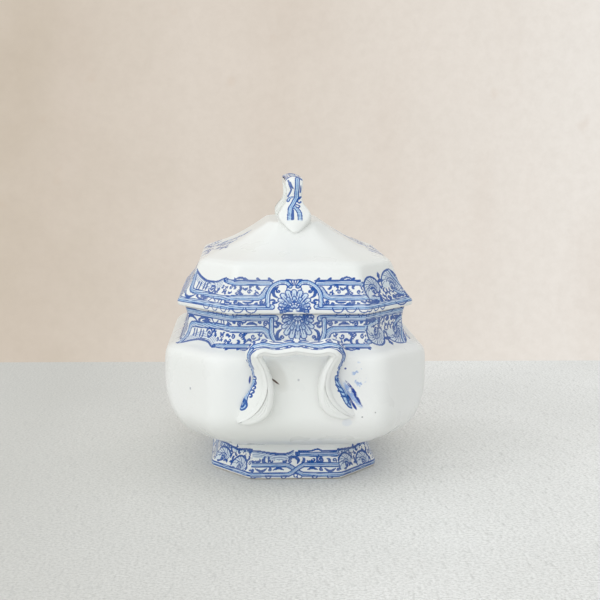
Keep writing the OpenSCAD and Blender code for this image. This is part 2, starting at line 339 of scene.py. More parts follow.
class Plate:
    """Ink and wash over a rectangle of the print."""

    def __init__(self, half_width, low, high):
        self.x0, self.v0 = -half_width, low
        columns = int(2 * half_width / PLATE_STEP) + 1
        rows = int((high - low) / PLATE_STEP) + 1
        self.ink = np.zeros((rows, columns), np.float32)
        self.wash = np.zeros((rows, columns), np.float32)
        self.mirrored = False

    def cell(self, spot):
        """Column and row of the cell that a place lies in."""
        return ((spot - (self.x0, self.v0)) / PLATE_STEP).astype(int)

    def cover(self, points, widths):
        """The window that a stroke touches, and how much of each cell in it the stroke covers."""
        pad = widths.max() / 2 + 2 * SOFT
        rows, columns = self.ink.shape
        lo = np.maximum(self.cell(points.min(0) - pad), 0)
        hi = np.minimum(self.cell(points.max(0) + pad) + 2, (columns, rows))
        if (hi <= lo).any():
            return None, None
        total = np.zeros((hi[1] - lo[1], hi[0] - lo[0]), np.float32)
        for a, b, wa, wb in zip(points[:-1], points[1:], widths[:-1], widths[1:]):
            near = max(wa, wb) / 2 + 2 * SOFT
            low = np.maximum(self.cell(np.minimum(a, b) - near), lo)
            top = np.minimum(self.cell(np.maximum(a, b) + near) + 2, hi)
            if (top <= low).any():
                continue
            x = self.x0 + np.arange(low[0], top[0]) * PLATE_STEP - a[0]
            v = (self.v0 + np.arange(low[1], top[1]) * PLATE_STEP - a[1])[:, None]
            d = b - a
            t = np.clip((x * d[0] + v * d[1]) / max(d @ d, 1e-9), 0, 1)
            gap = np.hypot(x - t * d[0], v - t * d[1])
            part = np.clip((wa + (wb - wa) * t) / 2 / SOFT - gap / SOFT + 0.5, 0, 1)
            window = total[low[1] - lo[1]:top[1] - lo[1], low[0] - lo[0]:top[0] - lo[0]]
            np.maximum(window, part, out=window)
        return (slice(lo[1], hi[1]), slice(lo[0], hi[0])), total

    def stroke(self, points, width, ink=1.0, wash=None, clear=False):
        """A line along the points. width is one number, or one for each point."""
        points = np.array(points, float)
        widths = np.broadcast_to(np.array(width, float), len(points)) + (SPREAD if ink else 0)
        sides = [points, points * (-1, 1)] if self.mirrored else [points]
        for p in sides:
            window, part = self.cover(p, widths)
            if window is None:
                continue
            if clear:
                self.ink[window] *= 1 - part
            if ink:
                self.ink[window] = np.maximum(self.ink[window], part * ink)
            if wash is not None:
                self.wash[window] = self.wash[window] * (1 - part) + part * wash

    def softened(self):
        """Adds the faint halo that the ink bled into the glaze."""
        size = int(HALO / PLATE_STEP)
        kernel = np.hanning(2 * size + 1)
        kernel /= kernel.sum()
        halo = np.apply_along_axis(np.convolve, 0, self.ink, kernel, "same")
        halo = np.apply_along_axis(np.convolve, 1, halo, kernel, "same")
        self.wash = np.clip(self.wash + HALO_WASH * halo, 0, 1).astype(np.float32)
        return self

    def read(self, x, v):
        """Ink and wash at places on the plate, nothing outside it."""
        column = (x - self.x0) / PLATE_STEP
        row = (v - self.v0) / PLATE_STEP
        rows, columns = self.ink.shape
        inside = (column > 0) & (column < columns - 1) & (row > 0) & (row < rows - 1)
        c = np.clip(column, 0, columns - 1.001)
        r = np.clip(row, 0, rows - 1.001)
        ci, ri = c.astype(int), r.astype(int)
        cf, rf = c - ci, r - ri
        found = []
        for grid in (self.ink, self.wash):
            top = grid[ri, ci] * (1 - cf) + grid[ri, ci + 1] * cf
            low = grid[ri + 1, ci] * (1 - cf) + grid[ri + 1, ci + 1] * cf
            found.append(np.where(inside, top * (1 - rf) + low * rf, 0))
        return found


def arc(x, v, radius, start, end, steps=14):
    """Points on an arc about (x, v), with angles in degrees."""
    a = np.radians(np.linspace(start, end, steps))
    return np.stack([x + radius * np.cos(a), v + radius * np.sin(a)], 1)


def spoke(x, v, radius, angle):
    """The point at an angle in degrees on a circle about (x, v)."""
    return arc(x, v, radius, angle, angle, 1)[0]


def spiral(plate, x, v, radius, start, turns, width, hand=1):
    """A curl that tightens to a dot at its middle."""
    t = np.linspace(0, 1, max(10, int(16 * turns)))
    a = math.radians(start) + hand * 2 * math.pi * turns * t
    r = radius * (1 - 0.82 * t)
    points = np.stack([x + r * np.cos(a), v + r * np.sin(a)], 1)
    plate.stroke(points, width * (1 - 0.4 * t))
    plate.stroke(points[-1:].repeat(2, 0) + [[0, 0], [0.01, 0]], radius * 0.38)


def leaf(plate, points, fat):
    """A curved leaf, pointed at both ends and widest at its middle."""
    path = smooth(points, 8)
    t = np.linspace(0, 1, len(path))
    plate.stroke(path, 0.25 + fat * np.sin(math.pi * t) ** 0.8)


def sprig(plate, x, v, size, angle, leaves):
    """A spray of short leaves from one stalk, ending in a dot."""
    for k in range(leaves):
        a = math.radians(angle + 46 * (k - (leaves - 1) / 2))
        tip = np.array([x + size * math.cos(a), v + size * math.sin(a)])
        side = np.array([-math.sin(a), math.cos(a)]) * size * 0.22 * (1 if k % 2 else -1)
        leaf(plate, [[x, v], (np.array([x, v]) + tip) / 2 + side, tip], size * 0.3)
    back = math.radians(angle + 180)
    dot = [x + size * 0.5 * math.cos(back), v + size * 0.5 * math.sin(back)]
    plate.stroke([dot, dot], size * 0.34)


def strap(plate, points, width, grain=2, tint=0.5):
    """A band of wash between two dark outlines, with fine engraved lines along it."""
    path = smooth(points, 10)
    plate.stroke(path, width, wash=0.35)
    plate.stroke(path, width - 1.5, 0, wash=tint, clear=True)
    side = np.gradient(path, axis=0)
    side = np.stack([-side[:, 1], side[:, 0]], 1)
    side /= np.linalg.norm(side, axis=1)[:, None]
    plate.stroke(path - side * 0.2 * width, 0.3 * width, 0, wash=min(1, 1.9 * tint))
    for k in range(grain):
        shift = (k + 1) / (grain + 1) - 0.5
        plate.stroke(path + side * shift * (width - 1.1), 0.14, 0.62)


def palmette(plate, x, v, reach, tall):
    """A fan of scalloped lobes round a small heart, with a scrolled foot."""
    was, plate.mirrored = plate.mirrored, False
    heart = np.array([x, v])
    for count, scale, fat_share, shade in ((13, 1.0, 0.24, 0.5), (9, 0.66, 0.25, 0.8)):
        for k in range(count):
            a = math.radians(104 * (k / (count - 1) * 2 - 1))
            toward = np.array([math.sin(a), math.cos(a)])
            length = reach * abs(math.sin(a)) ** 1.5 + tall * abs(math.cos(a)) ** 1.5
            length = scale * max(length, reach * 0.86)
            fat = length * fat_share
            root, tip = heart + 0.36 * length * toward, heart + (length - fat / 2) * toward
            plate.stroke([root, tip], [fat * 0.3, fat], 1.0, wash=0.4, clear=True)
            plate.stroke([root, tip], [fat * 0.3, fat - 1.1], 0, wash=shade, clear=True)
            plate.stroke([root, heart + 0.8 * length * toward], [0.5, 0.15], 0.9)
    plate.stroke(arc(x, v, 2.2, 0, 180), 3.4, 0, wash=0.55, clear=True)
    plate.stroke(arc(x, v, 4.2, 0, 180), 0.4)
    for a in (30, 60, 90, 120, 150):
        plate.stroke([spoke(x, v, 0.6, a), spoke(x, v, 3.8, a)], [0.3, 0.1])
    plate.mirrored = True
    scroll = [[1.2, 0.2], [4.6, 1.4], [8, -0.3], [11, -0.8], [12.8, 0.9], [11.6, 2.3], [10.4, 1.2]]
    plate.stroke(smooth(heart + scroll, 8), 0.8)
    plate.stroke([[x + 1.5, v - 1.6], [x + 11, v - 2.6]], [0.6, 0.3])
    plate.mirrored = was


def scallops(plate, x, v, radius, count, gap):
    """Thin half circles that hang under a strap."""
    for k in range(count):
        plate.stroke(arc(x + k * gap, v, radius, 185, 355), 0.45)


def scatter(plate, left, right, low, high, pitch, seed):
    """Crescents, curls and sprays on a loose grid, to fill the cells between the straps."""
    draw = np.random.default_rng(seed)
    for row, v in enumerate(np.arange(low + pitch * 0.42, high, pitch * 0.8)):
        for x in np.arange(left + pitch / 2 * (row % 2), right, pitch):
            spot = np.array([x, v]) + draw.uniform(-0.16, 0.16, 2) * pitch
            kind, angle, size = draw.integers(4), draw.uniform(0, 360), pitch * draw.uniform(0.85, 1.05)
            if kind == 0:
                spiral(plate, spot[0], spot[1], size * 0.42, angle, 1.05, 0.7, draw.choice((-1, 1)))
            elif kind == 1:
                sprig(plate, spot[0], spot[1], size * 0.55, angle, 3)
            else:
                leaf(plate, arc(spot[0], spot[1], size * 0.36, angle, angle + 190, 6), size * 0.26)
                dot = arc(spot[0], spot[1], size * 0.12, angle + 70, angle + 75, 2)
                plate.stroke(dot, size * 0.12)


def centre_motif(plate):
    """Palmette with its fan, arches, volutes and small sprigs, the same on both sides."""
    plate.mirrored = True
    strap(plate, [[21.2, 8.0], [21.3, 14], [21.0, 19], [19.2, 24], [15.5, 28], [10.5, 30.3],
                  [5.8, 29.8], [3.2, 26.8]], 3.8, grain=1)
    leaf(plate, [[12.4, 26.4], [16.4, 23.0], [16.2, 18.6], [13.0, 15.8]], 1.9)
    spiral(plate, 12.6, 22.4, 1.9, 60, 1.2, 0.7, -1)
    leaf(plate, [[12.6, 12.4], [15.0, 11.0], [17.6, 10.8]], 1.1)
    leaf(plate, [[15.0, 12.4], [17.2, 14.2], [19.0, 13.3]], 1.5)
    plate.stroke(arc(16.6, 11.0, 1.0, 0, 330), 0.5)
    plate.stroke(smooth([[2.6, 27.8], [5.2, 26.4], [6.2, 24.0]], 8), 0.5)
    for x in (0.0, 2.4, 4.8):
        plate.stroke([[x, 32.4], [x * 0.3, 27.4]], [0.6, 0.3])
    plate.stroke([[0, 32.6], [6.2, 32.6]], 0.75)
    plate.mirrored = False
    palmette(plate, 0, 5.0, 10.4, 19.0)


def border_top(plate, start, end, seed):
    """The broken dark line along the border's free edge, with small ticks and rises."""
    wander = np.random.default_rng(seed)
    x, points, widths = start, [], []
    while x < end:
        points.append([x, 31.9 + wander.uniform(-0.25, 0.35)])
        widths.append(wander.uniform(0.8, 1.3))
        x += wander.uniform(1.6, 3.2)
    points.append([end, 32.0])
    widths.append(0.6)
    plate.stroke(smooth(points, 6), np.interp(np.linspace(0, 1, 6 * (len(points) - 1) + 1),
                                              np.linspace(0, 1, len(points)), widths))
    for x in np.arange(start + 3, end - 2, 9.5):
        leaf(plate, [[x - 1.8, 32.2], [x, 33.1], [x + 0.9, 34.3]], 1.5)


def fill_lower(plate, x):
    """What lies between the middle and lower straps, over about 20 mm from x."""
    spiral(plate, x + 1.0, 11.8, 2.3, 180, 1.4, 0.7)
    spiral(plate, x + 5.4, 10.9, 1.3, 0, 1.2, 0.5, -1)
    leaf(plate, [[x + 7.6, 12.5], [x + 12.0, 11.3], [x + 16.4, 12.3]], 1.7)
    leaf(plate, [[x + 16.2, 10.0], [x + 18.0, 10.9], [x + 19.4, 10.3]], 0.7)


def run(plate, start, end, seed):
    """The three straps and their fillings from start out to the panel's edge, on both sides."""
    plate.mirrored = True
    scatter(plate, start + 8, end, 19.4, 27.4, 5.2, seed)
    strap(plate, [[start + 1.5, 29.6], [(start + end) / 2, 29.7], [end, 29.5]], 4.2)
    strap(plate, [[start + 3.9, 24.2], [start + 5.0, 22.2], [start + 7.2, 18.4], [start + 10.5, 16.4],
                  [start + 16, 16.2], [end, 16.2]], 5.2, grain=3)
    strap(plate, [[start + 0.5, 7.1], [(start + end) / 2, 7.1], [end, 7.1]], 5.0, grain=3)
    scallops(plate, start + 17, 6.4, 4.4, int((end - start - 12) / 10.5), 10.5)
    for x in np.arange(start + 7.5, end - 8, 20.5):
        fill_lower(plate, x)
    border_top(plate, start - 1, end, seed)


def end_plate():
    """The border on an end panel."""
    plate = Plate(62, -1, 38)
    run(plate, 17.5, 62, 3)
    plate.mirrored = True
    leaf(plate, [[38, 32.2], [42, 34.4], [46.5, 33.6]], 1.2)
    centre_motif(plate)
    return plate.softened()


def side_plate():
    """The border on a long side."""
    plate = Plate(92, -1, 38)
    run(plate, 17.5, 92, 5)
    centre_motif(plate)
    return plate.softened()


def rocaille(plate, x, v, radius, start, end, ridges):
    """A shell arch: a heavy dark rim over feathered ridges that sweep up from its foot."""
    sector = arc(x, v, radius, start, end, 20)
    for share in np.linspace(0.2, 0.97, 6):
        ring = sector * share + (1 - share) * np.array([x, v])
        plate.stroke(ring, radius * 0.19, 0, wash=0.36, clear=True)
    for k in range(ridges):
        a = start + (end - start) * (k + 0.5) / ridges
        ridge = [spoke(x, v, radius * 0.24, a - 70), spoke(x, v, radius * 0.6, a - 24),
                 spoke(x, v, radius * 0.93, a)]
        plate.stroke(smooth(ridge, 6), 0.1 if k % 2 else 0.36, 0.9)
    plate.stroke(arc(x, v, radius * 0.5, start + 20, end - 30, 16), 0.4, 0.9)
    plate.stroke(sector, 1.3)
    spiral(plate, x, v, radius * 0.26, start, 1.3, 0.9)


def swelling_line(plate, points, drops, shade, line, knees, widths):
    """A long stroke that swells between two knees, with shaded lines hung under it."""
    path = smooth(points, 8)
    for drop in drops:
        plate.stroke(path - [0, drop], shade[0], 0, wash=shade[1], clear=True)
        plate.stroke(path - [0, drop], *line)
    last = len(path) - 1
    plate.stroke(path, np.interp(np.arange(last + 1), [0, *knees, last], widths))


def arch_plate():
    """A cut corner with two shell arches either side of a burst of dashes."""
    plate = Plate(40, -1, 42)
    scatter(plate, -39, 40, 9.5, 24, 4.9, 21)
    strap(plate, [[-40, 29.6], [-34, 29.4], [-27, 28.2]], 4.2)
    strap(plate, [[-40, 16.2], [-28, 16.2], [-20, 14.0], [-12, 12.6]], 5.0)
    strap(plate, [[16, 19], [24, 14.5], [40, 12.6]], 4.2)
    rocaille(plate, -15.5, 21.0, 13.0, 5, 205, 12)
    rocaille(plate, 15.0, 23.0, 14.5, -22, 178, 14)
    strap(plate, [[18, 36.5], [25.5, 27.5], [31, 22.0], [40, 24.5]], 3.6, grain=1)
    for k, angle in enumerate((62, 78, 96, 112, 130)):
        a = math.radians(angle)
        root = np.array([-0.4 + 0.5 * k - 1, 29.5])
        plate.stroke([root, root + (7.5 - abs(k - 2)) * np.array([math.cos(a), math.sin(a)])], [1.5, 0.5])
    plate.stroke([[-3, 29], [3.2, 29]], 2.2)
    strap(plate, [[-40, 7.1], [0, 7.1], [40, 7.1]], 5.0, grain=3)
    leaf(plate, [[-33, 12.4], [-27, 10.6], [-19, 11.4], [-14, 10.4]], 2.4)
    spiral(plate, -9.5, 11.5, 2.5, 20, 1.3, 1.0)
    spiral(plate, 3.5, 11.4, 2.5, 160, 1.4, 1.0, -1)
    spiral(plate, 10.5, 12.0, 2.6, 300, 1.3, 1.0)
    leaf(plate, [[15, 11.0], [22, 12.0], [27, 10.4]], 2.1)
    plate.stroke(arc(33, 16, 3.2, 200, 330), 1.8)
    scallops(plate, -34, 6.4, 4.0, 3, 10)
    plate.stroke(smooth([[8, 6.5], [14, 3.4], [21, 3.2], [27, 5.2]], 8), 0.6)
    leaf(plate, [[-38, 32.4], [-35, 34.0], [-31, 32.8]], 1.5)
    plate.stroke([[30, 32], [33, 36.5], [34.5, 33.5], [38, 30]], 1.3)
    return plate.softened()


def swoosh_plate():
    """A cut corner under one long dark swoosh, with a turned strap and small bars."""
    plate = Plate(40, -1, 42)
    scatter(plate, 9, 40, 19.4, 27.4, 4.9, 31)
    top = [[-40, 34.5], [-33, 37.6], [-27, 37.0], [-17, 31.5], [-6, 28.3], [6, 29.0], [15, 32.6]]
    swelling_line(plate, top, (1.6, 3.2, 4.8, 6.4), (1.8, 0.22), (0.1, 0.75), (22, 34), (0.8, 1.5, 1.6, 0.8))
    strap(plate, [[17, 31.5], [24, 30.2], [40, 29.6]], 4.2)
    spiral(plate, 17.4, 31.4, 2.2, 0, 1.0, 0.9)
    strap(plate, [[-27, 35], [-26, 27], [-24.5, 19.2], [-20, 17.0], [-8, 16.6], [10, 15.2], [24, 15.4],
                  [40, 16.2]], 4.8, grain=3)
    for x in (-18, -14.5, -9, -5.5):
        plate.stroke([[x, 20.6], [x + 0.3, 25.8]], 1.3)
    spiral(plate, 3.5, 22.0, 4.6, 200, 1.4, 1.5)
    sprig(plate, -33, 28, 3.0, 250, 3)
    strap(plate, [[-40, 7.1], [0, 7.1], [40, 7.1]], 5.0, grain=3)
    leaf(plate, [[-31, 16.4], [-28, 11.6], [-21, 11.0], [-15, 14.2]], 1.7)
    spiral(plate, -33, 14.8, 2.2, 30, 1.3, 0.8)
    leaf(plate, [[-12, 13.2], [-10, 11.2], [-3, 10.4], [4, 11.4]], 1.2)
    leaf(plate, [[-8, 13.2], [-2, 12.4], [3, 13.0]], 1.6)
    spiral(plate, -12, 13.0, 1.8, 90, 1.2, 0.7)
    plate.stroke(smooth([[6, 10.2], [10, 13.4], [15, 10.6]], 8), 0.7)
    for x in (19, 22.5, 28):
        plate.stroke([[x, 10.2], [x, 12.8]], 1.1)
    leaf(plate, [[26, 12.6], [31, 11.4], [38, 12.4]], 1.6)
    spiral(plate, -36, 21, 2.4, 200, 1.2, 0.9)
    scallops(plate, 6, 6.4, 4.2, 3, 12)
    return plate.softened()


def foot_plate(half_width, seed):
    """The border cut down for the foot: straps that cross at the middle, leaves and curls."""
    plate = Plate(half_width, -1, 30)
    e = half_width
    scatter(plate, -e, -8, 13.2, 18.5, 5.4, seed + 40)
    scatter(plate, 6, e, 13.2, 18.5, 5.4, seed + 41)
    strap(plate, [[2, 20.6], [e * 0.5, 20.4], [e, 20.4]], 3.6)
    crossing = np.array([[-e, 11.4], [-10, 11.3], [-5, 10.2], [0, 6.8], [5, 3.4], [10, 2.7], [e, 2.6]])
    for hand in (1, -1):
        strap(plate, crossing * (hand, 1), 3.8)
    top = [[-e, 23.2], [-e * 0.72, 23.0], [-e * 0.42, 21.2], [-e * 0.18, 20.9], [-1.5, 23.4]]
    swelling_line(plate, top, (1.5, 3.0, 4.4), (1.9, 0.4), (0.2, 0.7), (14, 24), (0.8, 1.3, 1.4, 0.8))
    spiral(plate, 2.2, 21.0, 2.0, 150, 1.1, 1.0)
    plate.stroke(smooth([[3, 23.4], [12, 23.2], [19, 24.6], [24, 23.2], [e, 23.2]], 8), 0.9)
    leaf(plate, [[-5.5, 17.6], [-0.5, 18.2], [2.6, 15.6], [1.6, 12.2]], 2.2)
    spiral(plate, -4.2, 14.6, 1.9, 60, 1.1, 0.8)
    spiral(plate, 21, 16.2, 3.2, 120, 1.2, 1.5)
    for x in (-26, -22.5):
        plate.stroke([[x, 14.4], [x + 0.3, 18.4]], 1.0, 0.8)
    for sign in (-1, 1):
        leaf(plate, [[sign * 10, 7.0], [sign * 14, 8.4], [sign * 19, 6.8]], 1.5)
        spiral(plate, sign * 22, 7.2, 1.7, 90, 1.2, 0.7, sign)
        leaf(plate, [[sign * 24.5, 8.4], [sign * 29, 5.8], [sign * 34, 8.2]], 1.8)
        spiral(plate, sign * 36.5, 6.8, 1.6, 200, 1.2, 0.7, -sign)
    plate.stroke(arc(0, 2.0, 1.6, 0, 340), 0.5)
    wander = np.random.default_rng(seed)
    for x in np.arange(40, e, 9.0):
        for sign in (-1, 1):
            dip = wander.uniform(6.2, 7.2)
            leaf(plate, [[sign * x, 7.4], [sign * (x + 3), dip], [sign * (x + 6), 7.8]], 1.4)
    for x in np.arange(-e + 6, e, 13.0):
        plate.stroke(arc(x, 1.6, 2.4, 190, 350), 0.5)
    return plate.softened()


def foot_corner_plate():
    """The foot's cut corners, filled with shell arches and leaves."""
    plate = Plate(32, -1, 30)
    scatter(plate, -31, 32, 5.5, 22, 5.6, 61)
    strap(plate, [[-32, 2.6], [0, 2.6], [32, 2.6]], 3.6)
    rocaille(plate, 10, 6, 10.5, 0, 180, 8)
    rocaille(plate, -15, 9, 11.0, 20, 190, 8)
    top = smooth([[-32, 23], [-22, 24.0], [-8, 22.4], [4, 21.4], [14, 23.4], [32, 24.2]], 8)
    plate.stroke(top - [0, 1.6], 2.2, 0, wash=0.5)
    plate.stroke(top, 1.5)
    return plate.softened()


def handle_plate():
    """The strip along a handle: straps that part at the bar's middle, and curls down each leg."""
    plate = Plate(104, -2, 17)
    plate.mirrored = True
    strap(plate, [[0, 12.0], [5, 10.0], [14, 10.8], [24, 11.4], [33, 10.4]], 4.0, grain=1)
    strap(plate, [[3, 4.6], [9, 2.6], [20, 2.5], [31, 3.2]], 3.2, grain=1)
    plate.stroke(smooth([[0, 14.4], [3.2, 12.8], [6, 13.6], [12, 14.4], [22, 14.6], [32, 14.2]], 8), 0.8)
    leaf(plate, [[1.0, 8.4], [4.5, 6.0], [9.5, 6.5]], 1.3)
    leaf(plate, [[10, 7.4], [15.5, 6.3], [22, 7.2]], 1.0)
    spiral(plate, 25.5, 7.0, 2.0, 40, 1.2, 0.7)
    spiral(plate, 33.5, 6.0, 3.2, 120, 1.3, 1.0)
    for x, v in ((7, 12.6), (14, 13.6), (18, 5.0), (22, 13.8), (28, 5.4)):
        plate.stroke([[x, v], [x + 2.4, v - 0.5]], [1.4, 0.8])
    strap(plate, [[34, 11.5], [40, 11.0], [47, 9.6], [54, 8.6]], 3.2, grain=1)
    plate.stroke([[30, 14.4], [40, 14.0], [48, 12.6]], 0.8)
    plate.stroke([[36, 1.6], [58, 1.6], [88, 2.2]], 0.8)
    for x in np.arange(40, 60, 4.0):
        leaf(plate, [[x, 7.4], [x + 1.2, 5.4], [x + 3.2, 4.4]], 2.0)
    for x in np.arange(57, 80, 4.6):
        plate.stroke(arc(x, 10.6, 1.5, 20, 230), 1.2)
        plate.stroke([[x + 1.6, 3.6], [x + 4.2, 4.6]], [1.4, 0.7])
    strap(plate, [[60, 8.6], [68, 6.4], [76, 7.2], [84, 9.0]], 4.6, tint=0.8)
    plate.stroke(arc(88, 7.6, 2.8, 0, 360, 24), 6.0, 0, wash=0.9, clear=True)
    plate.stroke(arc(88, 7.6, 5.4, 0, 360, 24), 1.1)
    spiral(plate, 88, 7.6, 4.6, 120, 1.6, 1.9)
    plate.mirrored = False
    for x in np.arange(36, 58, 5.2):
        plate.stroke([[x, 11.0], [x + 3.4, 8.6]], [1.6, 0.9])
    strap(plate, [[57, 11.8], [70, 10.4], [86, 11.8]], 3.6, grain=0, tint=0.9)
    for x in np.arange(58, 84, 6.5):
        plate.stroke([[x, 12.6], [x + 4.4, 9.6]], [1.5, 0.8])
    return plate.softened()


def finial_plate():
    """The strip along the finial: a printed bar, and crossing straps and curls down each leg."""
    plate = Plate(104, -10, 10)
    plate.mirrored = True
    strap(plate, [[0, 0.4], [12, 0.8], [27, -0.2], [40, 0.6]], 5.4)
    for x in (4, 10, 16, 22, 28, 34):
        leaf(plate, [[x - 1.8, -4.2], [x, -5.4], [x + 2.2, -4.5]], 1.5)
        leaf(plate, [[x - 1.8, 4.8], [x, 5.6], [x + 2.2, 4.6]], 1.3)
    for edge in (6.9, -6.9):
        plate.stroke([[0, edge], [44, edge]], 0.6)
    plate.mirrored = False
    # Down each leg a point is [distance across the strap, distance below the bar's corner].
    corner = 50
    straps = (([[-5.4, 17], [-3.8, 13.2], [-0.6, 12.0], [1.4, 12.6]], 2.6, 0, 0.7),
              ([[-1.2, 24], [1.6, 27.5], [4.0, 33], [4.4, 39]], 3.8, 1, 0.8),
              ([[2.6, -1], [1.9, 8], [1.9, 13], [-0.8, 20], [-3.6, 27], [-4.6, 39]], 3.9, 1, 0.9))
    curls = (([[-5.2, -0.4], [-2.8, 4.2], [-5.6, 11.2]], 1.0),
             ([[-3.6, 0.6], [-1.2, 2.6]], 0.7),
             ([[5.6, 11.4], [4.2, 14.6], [2.4, 17.4], [4.0, 19.8], [5.6, 18.0]], 1.1),
             ([[1.4, 22.0], [4.2, 23.2], [3.6, 25.6], [1.6, 25.4]], 0.9),
             ([[-1.8, 29], [-1.6, 34], [-1.8, 38.5]], 1.5),
             ([[5.4, 2], [5.0, 7]], 0.8),
             ([[-7.0, -2.4], [-3.0, -4.6], [1.0, -4.2], [6.2, -1.6]], 1.3),
             ([[-5.6, -5.6], [-1.0, -6.8], [4.8, -5.0]], 1.4),
             ([[-6.4, -8.4], [0.0, -9.0], [6.2, -7.6]], 1.0))
    for sign in (-1, 1):
        for points, width, grain, tint in straps:
            leg = [[sign * (corner + down), sign * across] for across, down in points]
            strap(plate, leg, width, grain, tint)
        for points, width in curls:
            leg = [[sign * (corner + down), sign * across] for across, down in points]
            plate.stroke(smooth(leg, 8), width)
    return plate.softened()


def spray_plate():
    """A loose flower spray for the long sides of the roof."""
    plate = Plate(80, -4, 62)
    stems = (([[-58, 12], [-38, 7], [-14, 15], [8, 30], [30, 25], [52, 32]], 0.9),
             ([[-14, 15], [2, 10], [22, 12], [36, 8]], 0.8),
             ([[8, 30], [4, 42], [14, 50]], 0.8))
    for points, width in stems:
        plate.stroke(smooth(points, 10), width, 0.8)
    sprigs = ((-52, 10, 60), (-42, 8, 300), (-30, 8, 80), (-20, 12, 310), (-6, 19, 110),
              (4, 27, 320), (16, 29, 70), (30, 25, 290), (42, 28, 60), (53, 32, 340),
              (10, 10, 40), (24, 12, 300), (37, 8, 340), (4, 40, 150), (10, 47, 20))
    flowers = ((-34, 19, 7.5), (-8, 30, 9.0), (26, 38, 7.0), (4, 5, 6.0), (-56, 20, 5.5), (18, 54, 6.0))
    for x, v, angle in sprigs:
        sprig(plate, x, v, 8.0, angle, 3)
    for x, v, size in flowers:
        for k in range(6):
            petal = arc(x, v, size * 0.62, 60 * k, 60 * k, 2)
            plate.stroke(petal, size * 0.72, 0.9, wash=0.4)
            plate.stroke(petal, size * 0.72 - 1.2, 0, wash=0.6, clear=True)
        plate.stroke([[x, v], [x + 0.01, v]], size * 0.5, 0.9)
    return plate.softened()


# ---- Meshes ----

def in_scene(name, data):
    """An object made of the data, linked to the scene."""
    made = bpy.data.objects.new(name, data)
    bpy.context.scene.collection.objects.link(made)
    return made


def to_object(name, points, faces, ink, wash):
    """A smooth-shaded mesh object in metres that carries its print on its vertices."""
    mesh = bpy.data.meshes.new(name)
    mesh.from_pydata((points * MM).tolist(), [], faces)
    mesh.validate()
    for label, values in (("ink", ink), ("wash", wash)):
        layer = mesh.attributes.new(label, "FLOAT", "POINT")
        layer.data.foreach_set("value", np.asarray(values, np.float32))
    mesh.shade_smooth()
    return in_scene(name, mesh)


def wobble(x, v, seed, size):
    """A slow wander of the print, as a paper transfer laid by hand has."""
    draw = np.random.default_rng(seed)
    total = np.zeros_like(x)
    for wave in (70.0, 33.0, 17.0):
        a, b = draw.uniform(0, 2 * math.pi, 2)
        total += np.sin(2 * math.pi * x / wave + a) * np.cos(2 * math.pi * v / wave + b)
    return total * size / 3


def print_on(across, along, panel, zone, plates):
    """Ink and wash for each vertex in zone 1, from the plate of its panel."""
    ink = np.zeros(len(across))
    wash = np.zeros(len(across))
    for k, plate in enumerate(plates):
        here = (panel == k) & (zone == 1)
        if plate is None or not here.any():
            continue
        x, v = across[here], along[here]
        x = x + wobble(x, v, 10 + k, 0.35)
        v = v + wobble(x, v, 30 + k, 0.35)
        ink[here], wash[here] = plate.read(x, v)
    return ink, wash


def make_bowl(plates):
    """The bowl: a swelling underside, the printed shoulder and collar, and a plain inside."""
    columns = Columns([171, 60, 110, 60], [0.72, 0.6, 0.56, 0.6])
    fine, coarse = columns.every(1), columns.every(4)
    belly = smooth([underside(a) for a in range(0, 91, 6)], 6)
    collar = smooth(shoulder(), 14)
    outside = np.vstack([belly, collar])
    rows, marks = resample(outside, [0, 2], [(None, 0.6)])
    from_rim = marks[-1] - marks
    skin = Skin(columns)
    skin.add(shrunk(outside[0], [0.1, 0.5, 0.96, 0.99]), [0] * 4, coarse)
    low = from_rim > BOWL_PRINT
    thin = np.flatnonzero(low)[::4]
    skin.add(rows[thin], from_rim[thin], coarse)
    skin.add(rows[~low], from_rim[~low], fine, zone=1)
    inner_collar = inset(smooth(shoulder()[:-2], 6), BOWL_WALL)[::-1]
    inner_collar = inner_collar[inner_collar[:, 0] < rim_z - 1.0]
    lip = [[rim_z - 0.05, collar_w - 1.4, collar_l - 1.4, collar_end - 0.9, 5],
           [rim_z - 0.4, collar_w - 3.0, collar_l - 3.0, collar_end - 1.7, 4]]
    swell = [inset([underside(a)], BOWL_WALL, BOWL_FLOOR * (1 - a / 90))[0] for a in range(90, 19, -5)]
    floor = [bottom_z + BOWL_FLOOR, waist_w - 12, waist_l - 12, waist_end - 7, 7]
    inside = np.vstack([lip, inner_collar, swell, [floor]])
    inner_rows, inner_marks = resample(inside, [0, 2], [(None, 4.0)])
    skin.add(inner_rows, inner_marks, coarse, zone=2)
    skin.add(shrunk(floor, [0.97, 0.6, 0.1]), [0] * 3, coarse, zone=2)
    skin.close()
    points, across, along, panel, zone = skin.arrays()
    above_rim, squeeze, arch_stretch = 2.2, 0.97, 1.09
    place_v = (above_rim + squeeze * along) * np.where(panel % 4 == ARCH_CORNER, arch_stretch, 1.0)
    ink, wash = print_on(across, place_v, panel, zone, plates)
    return to_object("tureen_bowl", points, skin.faces, ink, wash)


